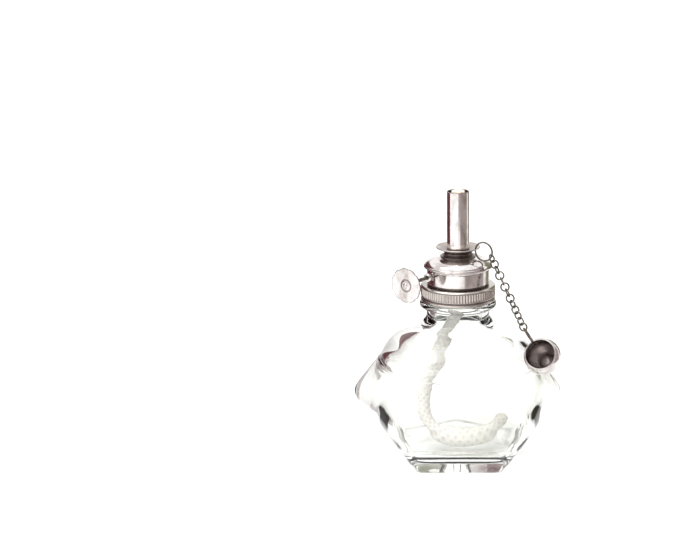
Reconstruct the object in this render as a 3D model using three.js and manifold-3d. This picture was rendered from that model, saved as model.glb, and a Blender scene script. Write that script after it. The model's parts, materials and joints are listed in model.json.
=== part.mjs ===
// A five-sided glass spirit lamp with a knurled screw burner, a wick-raising spindle
// and a snuffer cap on a chain.
// Millimetres, +Z up. The origin is the centre of the foot, and one flat side faces -Y.
// An azimuth is counted from the front (-Y) towards the lamp's right (+X).

import * as THREE from 'three';
import { mergeVertices } from 'three/addons/utils/BufferGeometryUtils.js';
import Module from 'manifold-3d';

const wasm = await Module();
wasm.setup();

// ---- driving dimensions -------------------------------------------------------------

const SIDES = 5;
const GLASS_ROUND = 40; // steps round the font, a whole number for each flat side
const ROUND = 32; // steps round the burner's turned parts
const SMALL_ROUND = 24; // steps round the cap, the rings and the wick

// glass font: two five-sided pyramids base to base, under a round dome
const GLASS = {
  footApothem: 25.2,
  waistApothem: 42.2, // where the lower and upper flats would meet
  waistZ: 25.1,
  ridgeRadius: 35.6,
  ridgeZ: 45,
  domeRadius: 35.2,
  domeCentreZ: 42,
  domeRise: 22.7,
  neckRadius: 13.9,
  beadRadius: 16.9,
  beadZ: [69.3, 72.2],
  rimZ: 77.7,
  boreRadius: 10.6,
  wall: 3.3,
  floor: 6.4,
  cornerPower: 24, // higher is a sharper vertical edge
  waistBlend: 0.4, // per millimetre, higher is a sharper waist
};

// thread between the glass neck and the screw collar
const THREAD = {
  pitch: 2.5,
  glassRoot: 13.6,
  depth: 1.1,
  clearance: 0.4,
  z: [72.6, 77.3],
  fade: 0.6, // length over which the thread runs out at each end
};

const WASHER = { radius: 13.5, thickness: 0.6 };
const COLLAR = {
  z: [72.4, 79.5],
  radius: 16.0,
  knurlRadius: 16.4,
  bandZ: [74.3, 79.0],
  teeth: 60,
  hole: 12.0,
  plate: 0.6,
};
const BASE = { neckRadius: 11.8, flangeRadius: 13.2, topZ: 80.1, sheet: 0.5 };
const DRUM = { radius: 13.7, wall: 0.5, topZ: 87.2 };
const LID = {
  rimRadius: 15.1,
  rimZ: [87.2, 88.0],
  centreRadius: 4,
  reach: 10.6,
  rise: 4.3,
  hole: 5.0,
  sheet: 0.45,
  vent: { radius: 0.45, at: [5.6, -9.8] },
};
const SAUCER = { footRadius: 7.8, waistRadius: 6.0, rimRadius: 9.6, z: [92.12, 96.3] };
const TUBE = {
  radius: 4.9,
  wall: 0.5,
  z: [91.0, 120.8],
  notch: { size: [3, 1.2, 1.6], z: 95.7, swing: -35 },
};
const GUIDE = { radius: 3.7, bore: 3.15, z: [73.6, 113] };
const WICK = { radius: 2.9, topZ: 121.3, splitZ: 73.4, gap: 0.3, tailSides: 5, tailSteps: 36 };

const SPINDLE = { azimuth: -35.5, offset: 7.0, z: 84, radius: 0.9, inner: -12.9, outer: 30.2 };
const WHEEL = { radius: 3.85, teeth: 12, toothDepth: 0.7, thickness: 0.7, at: [-0.9, 0.9] };
const BUSH = { wall: 0.5, headRadius: 1.9, head: [13, 13.6], shank: [10.2, 13.9], running: 0.06 };
const KNOB = { radius: 7.7, scallops: 11, depth: 0.45, thickness: 0.5, at: 29.4, hubRadius: 2.2 };

const CHAIN = {
  azimuth: 58.5,
  links: 13,
  pitch: 2.7,
  radius: 1.65,
  wire: 0.23,
  lean: 28.7, // from straight down, outwards
  twist: 97.5, // from one link's plane to the next
  play: 0.1, // gap left where two rings hang in each other
};
const ANCHOR = {
  radius: 4.1,
  wire: 0.4,
  centre: [12.8, 95.35],
  hole: [8.65, 95.5],
  holeRadius: 0.85,
  linkAngle: 27,
};
const CAP_RING = { radius: 4.0, wire: 0.4, swing: -20.5, dip: -41.1 };
const CAP = {
  mouthSwing: -79.4,
  mouthRise: 30.7,
  holeDepth: 4.0,
  holeRadius: 1.0,
  wallMiddle: 7.75, // distance from the cap's axis to the middle of its wall at the hole
  ringAngle: 60, // how far round the ring the cap's wall lies
};

// ---- materials ------------------------------------------------------------------------

const finish = (color, roughness, metalness) =>
  new THREE.MeshStandardMaterial({ color, roughness, metalness });
const CLEAR_GLASS = new THREE.MeshStandardMaterial({
  color: 0xeef2ec, roughness: 0.05, metalness: 0, transparent: true, opacity: 0.35,
});
const BRIGHT_NICKEL = finish(0xd9d4cf, 0.15, 1);
const WORN_NICKEL = finish(0xb9b0a6, 0.3, 1);
const STEEL_WIRE = finish(0x8d867f, 0.35, 1);
const BRASS = finish(0xb5975a, 0.35, 1);
const COTTON = finish(0xf0dcc2, 0.95, 0);
const CORK = finish(0xb98d5e, 0.9, 0);

// ---- mesh helpers ---------------------------------------------------------------------

const rad = THREE.MathUtils.degToRad;
const lamp = new THREE.Group();

// A closed mesh with one vertex per point, no collapsed faces, and its faces outwards.
function closed(geometry) {
  const bare = geometry.clone();
  bare.deleteAttribute('normal');
  bare.deleteAttribute('uv');
  bare.clearGroups();
  const merged = mergeVertices(bare, 1e-4);
  const old = merged.index.array;
  const kept = [];
  for (let i = 0; i < old.length; i += 3) {
    const [a, b, c] = [old[i], old[i + 1], old[i + 2]];
    if (a !== b && b !== c && c !== a) kept.push(a, b, c);
  }
  merged.setIndex(signedVolume(merged, kept) < 0 ? kept.reverse() : kept);
  return merged;
}

function signedVolume(geometry, index) {
  const at = (i) => new THREE.Vector3().fromBufferAttribute(geometry.attributes.position, i);
  let sum = 0;
  for (let i = 0; i < index.length; i += 3) {
    sum += at(index[i]).dot(at(index[i + 1]).cross(at(index[i + 2])));
  }
  return sum;
}

function toManifold(geometry) {
  const mesh = closed(geometry);
  return new wasm.Manifold(new wasm.Mesh({
    numProp: 3,
    vertProperties: new Float32Array(mesh.attributes.position.array),
    triVerts: new Uint32Array(mesh.index.array),
  }));
}

function fromManifold(manifold) {
  const mesh = manifold.getMesh();
  const geometry = new THREE.BufferGeometry();
  geometry.setAttribute('position', new THREE.BufferAttribute(mesh.vertProperties, 3));
  geometry.setIndex(new THREE.BufferAttribute(mesh.triVerts, 1));
  return geometry;
}

const cut = (body, ...tools) =>
  fromManifold(tools.reduce((left, tool) => left.subtract(toManifold(tool)), toManifold(body)));
const join = (body, ...more) =>
  fromManifold(more.reduce((left, piece) => left.add(toManifold(piece)), toManifold(body)));

// Adds a mesh to a group and gives it a name; matrix places it in that group.
function add(name, geometry, material, parent = lamp, matrix = new THREE.Matrix4()) {
  const mesh = new THREE.Mesh(closed(geometry), material);
  mesh.name = name;
  mesh.applyMatrix4(matrix);
  parent.add(mesh);
}

// Turns a profile of [radius, z] points round +Z.
function turned(profile, steps = ROUND) {
  const points = profile.map(([r, z]) => new THREE.Vector2(Math.max(r, 0), z));
  return new THREE.LatheGeometry(points, steps).rotateX(Math.PI / 2);
}

// The same for a profile that closes on itself, such as a ring or a tube wall.
const turnedRing = (profile, steps = ROUND) => turned([...profile, profile[0]], steps);

// A wall of even thickness between z0 and z1.
const sleeve = (outer, inner, z0, z1, steps = ROUND) =>
  turnedRing([[inner, z0], [outer, z0], [outer, z1], [inner, z1]], steps);

// A rod along +X from x0 to x1.
function rodX(radius, x0, x1, steps = 16) {
  return new THREE.CylinderGeometry(radius, radius, x1 - x0, steps)
    .rotateZ(Math.PI / 2)
    .translate((x0 + x1) / 2, 0, 0);
}

// A flat plate whose outline is radius(angle), from x0 to x1 along +X.
function plateX(radius, x0, x1, points) {
  const outline = Array.from({ length: points }, (_, i) => {
    const angle = (2 * Math.PI * i) / points;
    return new THREE.Vector2(radius(angle) * Math.cos(angle), radius(angle) * Math.sin(angle));
  });
  return new THREE.ExtrudeGeometry(new THREE.Shape(outline), { depth: x1 - x0, bevelEnabled: false })
    .rotateY(Math.PI / 2)
    .translate(x0, 0, 0);
}

// Points on an elliptic arc from angle a0 to a1, in degrees from the radial direction.
function arc(r, z, reach, rise, a0, a1, steps) {
  return Array.from({ length: steps + 1 }, (_, i) => {
    const angle = rad(a0 + ((a1 - a0) * i) / steps);
    return [r + reach * Math.cos(angle), z + rise * Math.sin(angle)];
  });
}

// Rounds a list of [radius, z] points into a smooth profile.
function smooth(points, steps) {
  const route = points.map(([r, z]) => new THREE.Vector3(r, z, 0));
  const curve = new THREE.CatmullRomCurve3(route, false, 'centripetal');
  return curve.getSpacedPoints(steps).map((p) => [Math.max(p.x, 0), p.y]);
}

// A frame whose +X is along, +Z is as near to up as it can be, at a point.
function frameAt(point, along, up) {
  const x = along.clone().normalize();
  const z = up.clone().addScaledVector(x, -up.dot(x)).normalize();
  return new THREE.Matrix4().makeBasis(x, z.clone().cross(x), z).setPosition(point);
}

// A unit vector from a swing round +Z and a rise above the horizontal, in degrees.
function aim(swing, rise) {
  const [s, e] = [rad(swing), rad(rise)];
  return new THREE.Vector3(Math.cos(e) * Math.cos(s), Math.cos(e) * Math.sin(s), Math.sin(e));
}

// A group whose +X points outwards at an azimuth from the front.
function outwardGroup(azimuth) {
  const group = new THREE.Group();
  group.rotation.z = rad(azimuth - 90);
  lamp.add(group);
  return group;
}

// ---- glass font -----------------------------------------------------------------------

// How far a soft-cornered five-sided outline reaches past its apothem at an azimuth.
function pentagonReach(azimuth, power) {
  let sum = 0;
  for (let side = 0; side < SIDES; side++) {
    sum += Math.max(Math.cos(azimuth - (2 * Math.PI * side) / SIDES), 0) ** power;
  }
  return sum ** (-1 / power);
}

// Radius of the faceted body: the lower flats lean out to the waist, the upper ones lean
// back to the round ridge, and the two are blended into a rounded waist.
// inset is how far inside the outer surface the result lies.
function facetRadius(z, azimuth, inset) {
  const { footApothem, waistApothem, waistZ, ridgeRadius, ridgeZ, cornerPower, waistBlend } = GLASS;
  const reach = pentagonReach(azimuth, cornerPower);
  const lower = reach * (footApothem + ((waistApothem - footApothem) * z) / waistZ);
  const t = (z - waistZ) / (ridgeZ - waistZ);
  const upper = (1 - t) * reach * waistApothem + t * ridgeRadius;
  const low = Math.min(lower, upper);
  const weight = (radius) => Math.exp(-waistBlend * (radius - low));
  return low - Math.log(weight(lower) + weight(upper)) / waistBlend - inset;
}

// Height, 0 to 1, of a right-hand thread that runs out at both ends of its band.
// A phase of half a turn puts the crests where the other thread has its roots.
function threadHeight(z, azimuth, [z0, z1], phase = 0) {
  const wave = 0.5 + 0.5 * Math.cos(2 * Math.PI * (z / THREAD.pitch) - azimuth + phase);
  const fade = (d) => THREE.MathUtils.smoothstep(d, 0, THREAD.fade);
  return wave * fade(z - z0) * fade(z1 - z);
}

// A turned mesh whose profile radii may each be a number or a function of azimuth.
function turnedShape(profile, steps = ROUND) {
  const geometry = turned(profile.map(([r, z]) => [typeof r === 'number' ? r : 1, z]), steps);
  const position = geometry.attributes.position;
  for (let i = 0; i < position.count; i++) {
    const radius = profile[i % profile.length][0];
    if (typeof radius === 'number') continue;
    const azimuth = Math.atan2(position.getX(i), -position.getY(i));
    position.setXY(i, radius(azimuth) * Math.sin(azimuth), -radius(azimuth) * Math.cos(azimuth));
  }
  return geometry;
}

const span = (z0, z1, steps) =>
  Array.from({ length: steps + 1 }, (_, i) => z0 + ((z1 - z0) * i) / steps);

function glassFont() {
  const g = GLASS;
  const facets = (inset) => (z) => [(azimuth) => facetRadius(z, azimuth, inset), z];
  const foot = (share) => (azimuth) => share * g.footApothem * pentagonReach(azimuth, g.cornerPower);
  const threadAt = (z) => [
    (azimuth) => THREAD.glassRoot + THREAD.depth * threadHeight(z, azimuth, THREAD.z), z,
  ];
  const outside = [
    [0, 0], [foot(0.5), 0], [foot(0.97), 0],
    ...[0.9, 11, 18, 22, 25, 28, 32, 38].map(facets(0)),
    [g.ridgeRadius, g.ridgeZ],
    ...arc(0, g.domeCentreZ, g.domeRadius, g.domeRise, 9, 63, 7),
    [g.neckRadius + 0.7, 63.6], [g.neckRadius, 65.0], [g.neckRadius, 69.1],
    ...arc(g.beadRadius - 1.3, (g.beadZ[0] + g.beadZ[1]) / 2, 1.3, 1.45, -80, 80, 3),
    ...span(THREAD.z[0], THREAD.z[1], 11).map(threadAt),
    [THREAD.glassRoot - 0.4, g.rimZ],
  ];
  const inside = [
    [g.boreRadius + 0.3, g.rimZ], [g.boreRadius, g.rimZ - 0.5], [g.boreRadius, 62.6],
    ...arc(0, g.domeCentreZ, g.domeRadius - g.wall, g.domeRise - g.wall, 62, 8, 4),
    ...[37, 28, 22, 15].map(facets(g.wall)),
    [21.5, 9.6], [16, 7.3], [8, g.floor + 0.1], [0, g.floor],
  ];
  return turnedShape([...outside, ...inside], GLASS_ROUND);
}

// ---- burner ---------------------------------------------------------------------------

// Cork ring that the collar presses onto the glass rim.
const sealWasher = () =>
  sleeve(WASHER.radius, GLASS.boreRadius, GLASS.rimZ, GLASS.rimZ + WASHER.thickness);

// Sheet-metal collar: plain bead, fluted band, top plate with a hole, rolled thread inside.
function screwCollar() {
  const { z: [z0, z1], radius: r, bandZ, plate, hole } = COLLAR;
  const inner = THREAD.glassRoot + THREAD.depth + THREAD.clearance;
  const threadZ = [z0 + 0.3, z1 - plate];
  const threadAt = (z) => [
    (azimuth) => inner - THREAD.depth * threadHeight(z, azimuth, threadZ, Math.PI), z,
  ];
  const wall = turnedShape([
    [inner, z0], [r - 0.1, z0], [r + 0.3, z0 + 0.5], [r + 0.2, z0 + 1.1], [r - 0.2, z0 + 1.7],
    [r - 0.2, z1 - 0.6], [r - 0.9, z1], [hole, z1], [hole, z1 - plate],
    ...span(threadZ[1], threadZ[0], 12).map(threadAt), [inner, z0],
  ]);
  const flutes = (angle) => (Math.round((angle / Math.PI) * COLLAR.teeth) % 2 ? r : COLLAR.knurlRadius);
  const ribs = plateX(flutes, 0, bandZ[1] - bandZ[0], 2 * COLLAR.teeth);
  const band = cut(ribs, rodX(r - 0.5, -1, bandZ[1] - bandZ[0] + 1, ROUND))
    .rotateY(-Math.PI / 2)
    .translate(0, 0, bandZ[0]);
  return join(wall, band);
}

// Ferrule that carries the drum through the collar's hole, with a hole for the wick guide.
function burnerBase() {
  const { neckRadius: n, flangeRadius: f, topZ, sheet } = BASE;
  const low = GLASS.rimZ + WASHER.thickness;
  const hole = GUIDE.radius + 0.1;
  return turnedRing([
    [f, low], [f, low + sheet], [n, low + sheet], [n, topZ - sheet], [f, topZ - sheet], [f, topZ],
    [hole, topZ], [hole, topZ - sheet], [n - sheet, topZ - sheet], [n - sheet, low],
  ]);
}

// Plain drum, drilled on both sides for the spindle, with room for the bush at the front.
function burnerDrum() {
  const { radius: r, wall, topZ } = DRUM;
  const z0 = BASE.topZ;
  const shell = turnedRing([
    [r - wall, z0], [r - 0.2, z0], [r, z0 + 0.2], [r, topZ], [r - wall, topZ],
  ]);
  const drill = (radius, x0, x1) =>
    rodX(radius, x0, x1).translate(0, -SPINDLE.offset, SPINDLE.z).rotateZ(rad(SPINDLE.azimuth - 90));
  const bushHole = drill(SPINDLE.radius + BUSH.wall + 0.05, 6, 20);
  const farHole = drill(SPINDLE.radius + BUSH.running, -20, -6);
  return cut(shell, bushHole, farHole);
}

// Domed lid with a rolled rim, a hole for the tube and a small vent at the front right.
function domeLid() {
  const { rimRadius: rim, rimZ: [z0, z1], centreRadius: c, reach, rise, hole, sheet, vent } = LID;
  const [seat, topZ] = [DRUM.radius - 1.2, z1 - 0.2 + rise];
  const top = arc(c, z1 - 0.2, reach, rise, 8, 80, 6);
  const under = arc(c, z1 - 0.2, reach - sheet, rise - sheet, 80, 12, 4);
  const shell = turnedRing([
    [seat, z0], [rim - 0.3, z0], [rim, (z0 + z1) / 2], [rim - 0.3, z1 - 0.05],
    ...top, [hole, topZ], [hole, topZ - sheet], ...under, [seat, z1 - 0.4],
  ]);
  const drill = new THREE.CylinderGeometry(vent.radius, vent.radius, 6, 8)
    .rotateX(Math.PI / 2)
    .translate(...vent.at, z1 + 2);
  return cut(shell, drill);
}

// Flared drip saucer on a waisted foot, with the hole that holds the chain's first ring.
function saucer() {
  const { footRadius: foot, waistRadius: waist, rimRadius: rim, z: [z0, z1] } = SAUCER;
  const bore = TUBE.radius + 0.08;
  const outside = smooth([
    [foot, z0], [waist + 0.3, z0 + 0.8], [waist, z0 + 1.5], [waist + 1.1, z0 + 2.4], [rim, z1 - 0.35],
  ], 7);
  const inside = smooth([
    [rim - 0.15, z1], [waist + 1.3, z0 + 3.2], [waist, z0 + 2.6], [bore, z0 + 2.3],
  ], 4);
  const shell = turnedRing([[bore, z0], ...outside, [rim + 0.08, z1 - 0.1], ...inside]);
  const [ringX, ringZ] = ANCHOR.hole;
  const punch = rodX(ANCHOR.holeRadius, -1.6, 1.6, 12)
    .rotateY(rad(60))
    .translate(ringX, 0, ringZ)
    .rotateZ(rad(CHAIN.azimuth - 90));
  return cut(shell, punch);
}

// Outer tube with a rolled lip and a small notch at its foot.
function wickTube() {
  const { radius: r, wall, z: [z0, z1], notch } = TUBE;
  const shell = turnedRing([
    [r - wall, z0], [r, z0], [r, z1 - 0.3], [r - 0.15, z1], [r - wall + 0.1, z1], [r - wall, z1 - 0.3],
  ]);
  const slot = new THREE.BoxGeometry(...notch.size).translate(r, 0, notch.z).rotateZ(rad(notch.swing));
  return cut(shell, slot);
}

// Inner tube that grips the wick, with a window where the feed wheels reach it.
function wickGuide() {
  const { radius, bore, z: [z0, z1] } = GUIDE;
  const window = new THREE.BoxGeometry(3.2, 2.4, 9.4)
    .translate(0, -GUIDE.radius, SPINDLE.z)
    .rotateZ(rad(SPINDLE.azimuth - 90));
  return cut(sleeve(radius, bore, z0, z1), window);
}

function wick() {
  const { radius: r, topZ, splitZ } = WICK;
  const top = [[r, topZ - 0.6], [r * 0.75, topZ - 0.1], [0, topZ + 0.2]];
  return turned([[0, splitZ], [r, splitZ], ...top], SMALL_ROUND);
}

// The wick's free end: down the left of the font, then along the floor to the right.
function wickTail() {
  const { radius, splitZ, gap, tailSides, tailSteps } = WICK;
  const route = [
    [0, 0, splitZ - gap], [0, 0, 70.8], [-4.0, 0.4, 62], [-8.6, 1, 54], [-12.2, 1.6, 45],
    [-13.8, 1.6, 36], [-14.6, 0, 27], [-13.8, -2.6, 18.5], [-9.5, -5, 12.4], [-3, -6.6, 10.2],
    [5, -6.8, 10.2], [12, -4.4, 11], [17.2, 0.6, 12.9], [19.2, 6.6, 15.2],
  ].map((p) => new THREE.Vector3(...p));
  const section = new THREE.Shape().absarc(0, 0, radius, 0, 2 * Math.PI, false);
  const extrudePath = new THREE.CatmullRomCurve3(route, false, 'centripetal');
  return new THREE.ExtrudeGeometry(section, { steps: tailSteps, curveSegments: tailSides, extrudePath });
}

// ---- spindle --------------------------------------------------------------------------

function starWheel(x) {
  const { radius, teeth, toothDepth, thickness } = WHEEL;
  const tooth = (angle) => radius - (Math.round((angle / Math.PI) * teeth) % 2 ? toothDepth : 0);
  const [x0, x1] = [x - thickness / 2, x + thickness / 2];
  return cut(plateX(tooth, x0, x1, 2 * teeth), rodX(SPINDLE.radius, x0 - 1, x1 + 1));
}

// Pressed disc with a scalloped edge and a shallow hub, driven onto the spindle.
function knobDisc() {
  const { radius, scallops, depth, thickness, at, hubRadius } = KNOB;
  const edge = (angle) => radius - depth + depth * Math.abs(Math.cos((angle * scallops) / 2));
  const disc = plateX(edge, at - thickness, at, 6 * scallops);
  const hub = rodX(hubRadius, at - 0.1, at + 0.35, 20);
  return cut(join(disc, hub), rodX(SPINDLE.radius, at - 2, at + 2));
}

// Flanged bush in the drum wall, which the spindle runs in.
function spindleBush() {
  const body = join(rodX(SPINDLE.radius + BUSH.wall, ...BUSH.shank), rodX(BUSH.headRadius, ...BUSH.head, 20));
  return cut(body, rodX(SPINDLE.radius + BUSH.running, BUSH.shank[0] - 1, BUSH.shank[1] + 1));
}

function addSpindle() {
  const group = outwardGroup(SPINDLE.azimuth);
  const axis = new THREE.Matrix4().makeTranslation(0, -SPINDLE.offset, SPINDLE.z);
  add('spindle_bush', spindleBush(), WORN_NICKEL, group, axis);
  add('spindle', rodX(SPINDLE.radius, SPINDLE.inner, SPINDLE.outer), STEEL_WIRE, group, axis);
  WHEEL.at.forEach((x, i) => add(`feed_wheel_${i + 1}`, starWheel(x), BRASS, group, axis));
  add('knob', knobDisc(), BRIGHT_NICKEL, group, axis);
}

// ---- chain and cap --------------------------------------------------------------------

// A round wire ring lying in its local XY plane.
const ring = (radius, wire, steps) => new THREE.TorusGeometry(radius, wire, 6, steps);

// Pressed snuffer cap: a bulged bowl open at +Z, with a small nipple closing its top.
function capShell() {
  const outside = smooth([
    [6.5, 0], [7.55, -1.6], [8.0, -3.8], [7.7, -6.2], [6.7, -8.6], [5.2, -10.3], [4.1, -11.2],
  ], 7);
  const nipple = [[3.9, -11.9], [3.9, -14.2], ...arc(0, -14.2, 3.9, 2.8, 0, -90, 3).slice(1)];
  const lining = smooth([
    [6.15, -0.2], [7.05, -1.7], [7.5, -3.8], [7.2, -6.0], [6.2, -8.3], [4.7, -10.0], [3.5, -11.0],
  ], 6);
  const bottom = [[3.4, -11.6], [3.4, -14.1], [2.2, -15.6], [0, -16.4]];
  const solid = turned([[0, 0], ...outside, ...nipple].reverse(), SMALL_ROUND);
  const hollow = turned([[0, 0.6], [6.5, 0.6], ...lining, ...bottom].reverse(), SMALL_ROUND);
  const hole = rodX(CAP.holeRadius, 4, 10, 12).translate(0, 0, -CAP.holeDepth);
  return cut(solid, hollow, hole);
}

// The chain hangs from a ring in the saucer; the cap hangs on a ring at its other end.
function addChain() {
  const group = outwardGroup(CHAIN.azimuth);
  const down = new THREE.Vector3(Math.sin(rad(CHAIN.lean)), 0, -Math.cos(rad(CHAIN.lean)));
  const tangent = new THREE.Vector3(0, 1, 0);
  const outward = tangent.clone().cross(down).negate();
  const bite = (wireRadius) => CHAIN.radius - CHAIN.wire - wireRadius - CHAIN.play;

  const [ax, az] = ANCHOR.centre;
  const anchorCentre = new THREE.Vector3(ax, 0, az);
  const anchorFrame = new THREE.Matrix4().makeRotationX(Math.PI / 2).setPosition(anchorCentre);
  add('anchor_ring', ring(ANCHOR.radius, ANCHOR.wire, SMALL_ROUND), STEEL_WIRE, group, anchorFrame);

  const hang = rad(ANCHOR.linkAngle);
  const first = anchorCentre.clone()
    .add(new THREE.Vector3(Math.cos(hang), 0, -Math.sin(hang)).multiplyScalar(ANCHOR.radius))
    .addScaledVector(down, bite(ANCHOR.wire) - 0.18); // the link hangs a little askew on the ring
  const normalOf = (k) => {
    const angle = rad(90 + k * CHAIN.twist);
    return outward.clone().multiplyScalar(-Math.sin(angle)).addScaledVector(tangent, Math.cos(angle));
  };
  for (let k = 0; k < CHAIN.links; k++) {
    const centre = first.clone().addScaledVector(down, k * CHAIN.pitch);
    const name = `chain_link_${String(k + 1).padStart(2, '0')}`;
    add(name, ring(CHAIN.radius, CHAIN.wire, 12), STEEL_WIRE, group, frameAt(centre, down, normalOf(k)));
  }

  const mouth = aim(CAP.mouthSwing, CAP.mouthRise);
  const toCap = aim(CAP_RING.swing, CAP_RING.dip);
  toCap.addScaledVector(mouth, -toCap.dot(mouth)).normalize();
  const ringCentre = first.clone()
    .addScaledVector(down, (CHAIN.links - 1) * CHAIN.pitch)
    .addScaledVector(toCap, CAP_RING.radius + bite(CAP_RING.wire));
  const ringNormal = toCap.clone().cross(mouth);
  add('cap_ring', ring(CAP_RING.radius, CAP_RING.wire, SMALL_ROUND), STEEL_WIRE, group,
    frameAt(ringCentre, toCap, ringNormal));

  const turn = rad(CAP.ringAngle);
  const capCentre = ringCentre.clone()
    .addScaledVector(toCap, CAP_RING.radius * Math.cos(turn) + CAP.wallMiddle)
    .addScaledVector(mouth, CAP.holeDepth - CAP_RING.radius * Math.sin(turn));
  const capFrame = frameAt(capCentre, toCap.clone().negate(), mouth);
  add('snuffer_cap', capShell(), BRIGHT_NICKEL, group, capFrame);
}

// ---- assembly -------------------------------------------------------------------------

add('glass_font', glassFont(), CLEAR_GLASS);
add('seal_washer', sealWasher(), CORK);
add('screw_collar', screwCollar(), BRIGHT_NICKEL);
add('burner_base', burnerBase(), WORN_NICKEL);
add('burner_drum', burnerDrum(), BRIGHT_NICKEL);
add('dome_lid', domeLid(), BRIGHT_NICKEL);
add('saucer', saucer(), WORN_NICKEL);
add('wick_tube', wickTube(), BRIGHT_NICKEL);
add('wick_guide', wickGuide(), WORN_NICKEL);
add('wick', wick(), COTTON);
add('wick_tail', wickTail(), COTTON);
addSpindle();
addChain();

export default lamp;
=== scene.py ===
import json
import math

import bmesh
import bpy
import numpy as np
from bpy.props import FloatProperty, FloatVectorProperty, IntProperty, PointerProperty
from mathutils import Matrix, Vector


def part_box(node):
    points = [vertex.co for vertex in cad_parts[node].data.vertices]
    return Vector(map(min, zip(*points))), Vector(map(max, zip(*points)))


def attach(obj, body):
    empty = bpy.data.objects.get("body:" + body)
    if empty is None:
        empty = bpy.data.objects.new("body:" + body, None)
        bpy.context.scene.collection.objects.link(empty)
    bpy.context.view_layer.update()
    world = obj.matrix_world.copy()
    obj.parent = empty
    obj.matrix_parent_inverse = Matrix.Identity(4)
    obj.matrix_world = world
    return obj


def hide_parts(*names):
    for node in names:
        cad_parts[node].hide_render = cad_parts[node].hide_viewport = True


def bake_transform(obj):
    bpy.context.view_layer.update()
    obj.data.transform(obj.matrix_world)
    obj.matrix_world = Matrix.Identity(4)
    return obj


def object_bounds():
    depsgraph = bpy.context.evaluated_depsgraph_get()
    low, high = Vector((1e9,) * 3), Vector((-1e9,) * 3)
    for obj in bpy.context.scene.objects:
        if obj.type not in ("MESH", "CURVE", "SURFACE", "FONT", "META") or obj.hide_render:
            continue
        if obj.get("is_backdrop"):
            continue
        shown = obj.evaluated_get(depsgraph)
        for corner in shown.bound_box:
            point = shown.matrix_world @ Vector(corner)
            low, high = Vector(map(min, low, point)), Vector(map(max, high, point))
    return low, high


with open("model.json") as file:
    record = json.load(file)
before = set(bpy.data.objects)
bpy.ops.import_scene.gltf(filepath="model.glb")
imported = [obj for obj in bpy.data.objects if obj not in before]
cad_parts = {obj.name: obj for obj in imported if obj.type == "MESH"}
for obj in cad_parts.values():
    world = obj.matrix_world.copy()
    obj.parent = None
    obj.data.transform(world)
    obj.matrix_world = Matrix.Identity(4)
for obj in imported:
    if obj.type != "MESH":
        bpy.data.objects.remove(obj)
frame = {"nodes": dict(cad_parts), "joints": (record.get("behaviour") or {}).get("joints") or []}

bl_info = {
    "name": "Faceted Spirit Lamp",
    "version": (1, 0, 0),
    "blender": (4, 5, 0),
    "location": "View3D > Sidebar > Spirit Lamp",
    "description": "Builds a clear five-sided spirit lamp with a nickel burner and a snuffer cap on a chain",
    "category": "Add Mesh",
}

CAD_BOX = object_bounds()
JOINTS = {joint["name"]: joint for joint in frame["joints"]}
MM = 0.001
TURN = 2 * math.pi


def low(node):
    """Height of a node's lowest point."""
    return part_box(node)[0].z


def high(node):
    """Height of a node's highest point."""
    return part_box(node)[1].z


def reach(node):
    """Largest radius of a turned node that stands on the lamp's axis."""
    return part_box(node)[1].x


# ---- sizes and colours that a user may change -----------------------------------------


def length(name, text, default):
    """A property that holds a length in metres."""
    return FloatProperty(name=name, description=text, default=default, unit="LENGTH", precision=5)


def colour(name, text, default):
    """A property that holds a linear colour."""
    return FloatVectorProperty(name=name, description=text, default=default, subtype="COLOR", min=0, max=1)


def share(name, text, default):
    """A property that holds a number from 0 to 1."""
    return FloatProperty(name=name, description=text, default=default, min=0, max=1, subtype="FACTOR")


class LampStageSettings(bpy.types.PropertyGroup):
    lens: FloatProperty(name="Lens", description="Focal length of the camera", default=85, unit="CAMERA")
    sky: FloatProperty(name="Surround", description="Brightness of the white surround", default=1.25)
    overhead: FloatProperty(name="Overhead light", description="Power of the soft light above", default=9)
    floor_colour: colour("Floor", "Colour of the floor", (0.93, 0.93, 0.925))
    side_card: colour("Left card", "Colour of the card that the left edges reflect", (0.12, 0.03, 0.035))
    front_card: colour("Right card", "Colour of the card that the right edges reflect", (0.33, 0.285, 0.275))
    back_card: colour("Rear card", "Colour of the card that the right shoulder refracts", (0.2, 0.19, 0.13))


class LampGlassSettings(bpy.types.PropertyGroup):
    wall: length("Wall", "Thickness of the glass wall", 3.3 * MM)
    shoulder: length("Shoulder", "How much thicker the wall is in the shoulder", 2.6 * MM)
    floor: length("Floor", "Thickness of the glass under the spirit", 6.4 * MM)
    tint: colour("Tint", "Colour of the clear glass", (0.985, 0.99, 0.975))
    edge_tint: colour("Edge tint", "Colour of the glass where it is thick", (0.93, 0.945, 0.9))
    waviness: share("Waviness", "Strength of the moulding ripples", 0.35)


class LampBurnerSettings(bpy.types.PropertyGroup):
    flutes: IntProperty(name="Flutes", description="Flutes round the screw collar", default=82, min=12)
    flute_depth: length("Flute depth", "Depth of a flute", 0.34 * MM)
    bright: colour("Bright nickel", "Colour of the polished plating", (0.74, 0.7, 0.69))
    tarnish: colour("Tarnish", "Colour of the dulled plating", (0.42, 0.37, 0.35))
    dull: colour("Dull nickel", "Colour of the unpolished plating", (0.5, 0.455, 0.425))
    # Also the colour of the painted shade in joints, creases, rims and hollows of the plate.
    grime: colour("Grime", "Colour of the dirt in creases", (0.16, 0.13, 0.12))


class LampSpindleSettings(bpy.types.PropertyGroup):
    scallops: IntProperty(name="Scallops", description="Scallops round the knob", default=11, min=3)
    twist: length("Twist", "Length of one full twist of the shaft", 6.4 * MM)
    steel: colour("Steel", "Colour of the wire and shaft", (0.13, 0.11, 0.088))
    brass: colour("Brass", "Colour of the feed wheels", (0.72, 0.55, 0.27))


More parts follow.
